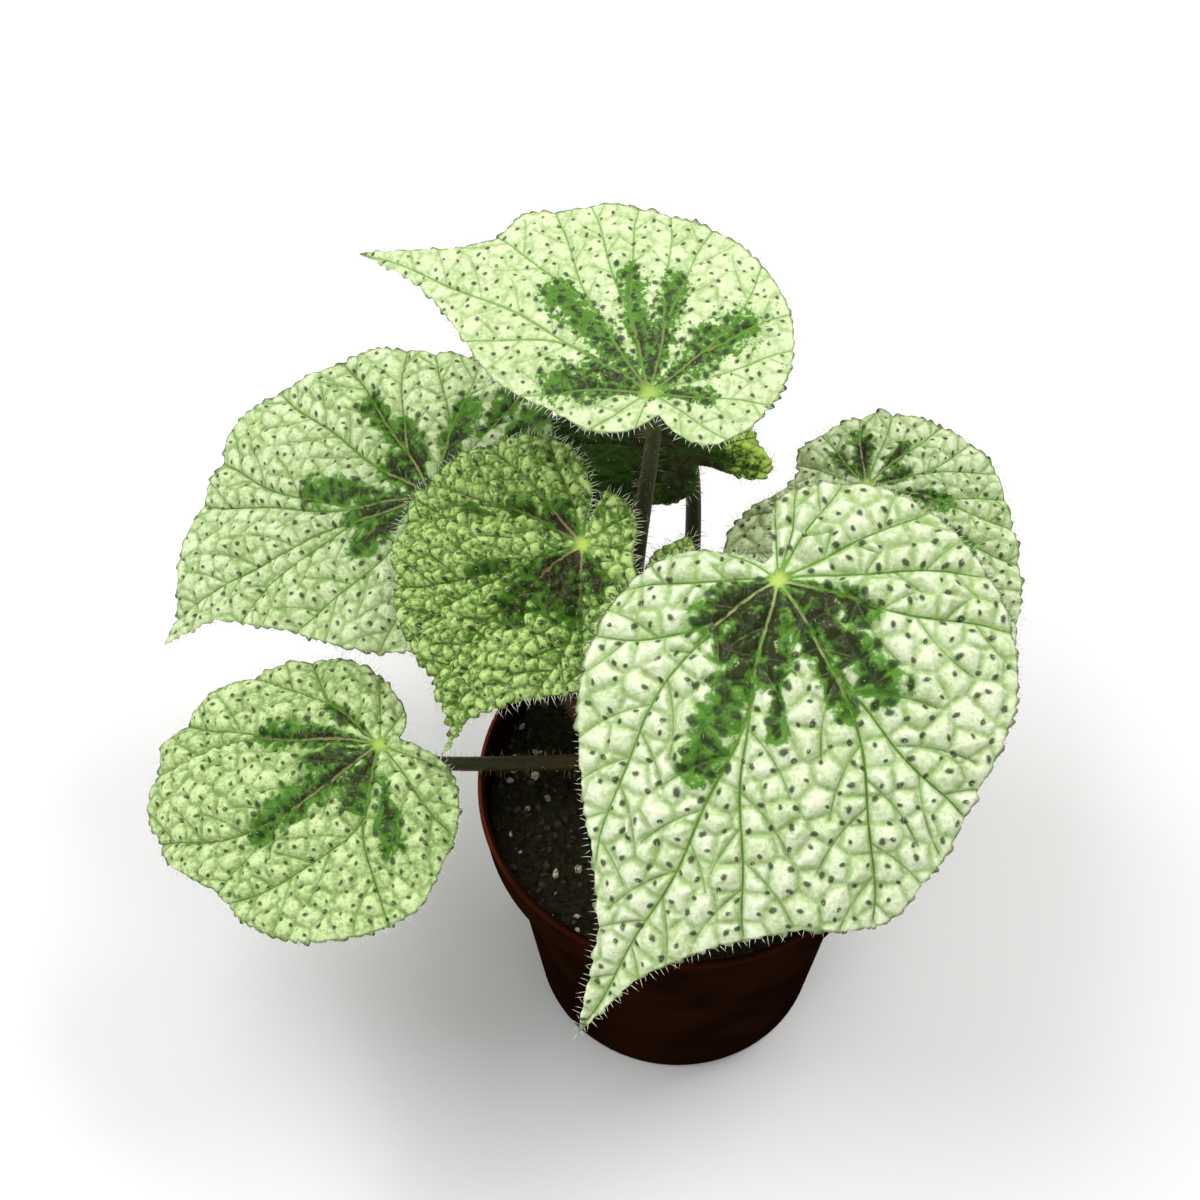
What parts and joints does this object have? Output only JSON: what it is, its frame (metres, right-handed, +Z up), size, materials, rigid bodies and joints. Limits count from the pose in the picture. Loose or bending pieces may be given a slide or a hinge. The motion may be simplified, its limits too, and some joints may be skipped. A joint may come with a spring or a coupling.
{
  "type": "potted begonia",
  "caption": "Young begonia with silvery puckered leaves on slender stalks, growing from a rhizome in a small round nursery pot.",
  "frame": {"origin": "middle of the pot's flat base, where it rests", "axes": "+Z up along the pot's axis, -Y towards the side the plant is seen from, +X to the right of that view"},
  "size_m": [0.211, 0.1736, 0.181],
  "materials": {
    "pot": "dark brown-black moulded plastic, satin",
    "soil": "damp crumbly potting mix with pale grains",
    "rhizome": "brown-red, scarred and hairy",
    "stipule": "thin and papery",
    "blade": "silver-green, puckered, dark centre, dark spots, satin",
    "blade_fresh": "yellow-green, finely puckered, dark spots, satin",
    "stalk": "olive to tan, covered in pale hairs"
  },
  "bodies": {
    "root": {"pot": "pot", "soil": "soil", "rhizome": "rhizome", "stipule_1": "stipule", "stipule_2": "stipule", "stipule_3": "stipule", "stipule_4": "stipule", "blade_front": "blade", "blade_back": "blade", "blade_left": "blade", "blade_centre": "blade_fresh", "blade_low_left": "blade", "blade_right": "blade", "blade_shaded": "blade_fresh", "blade_young": "blade_fresh", "stalk_front": "stalk", "stalk_back": "stalk", "stalk_left": "stalk", "stalk_centre": "stalk", "stalk_low_left": "stalk", "stalk_right": "stalk", "stalk_shaded": "stalk", "stalk_young": "stalk"}
  },
  "joints": []
}
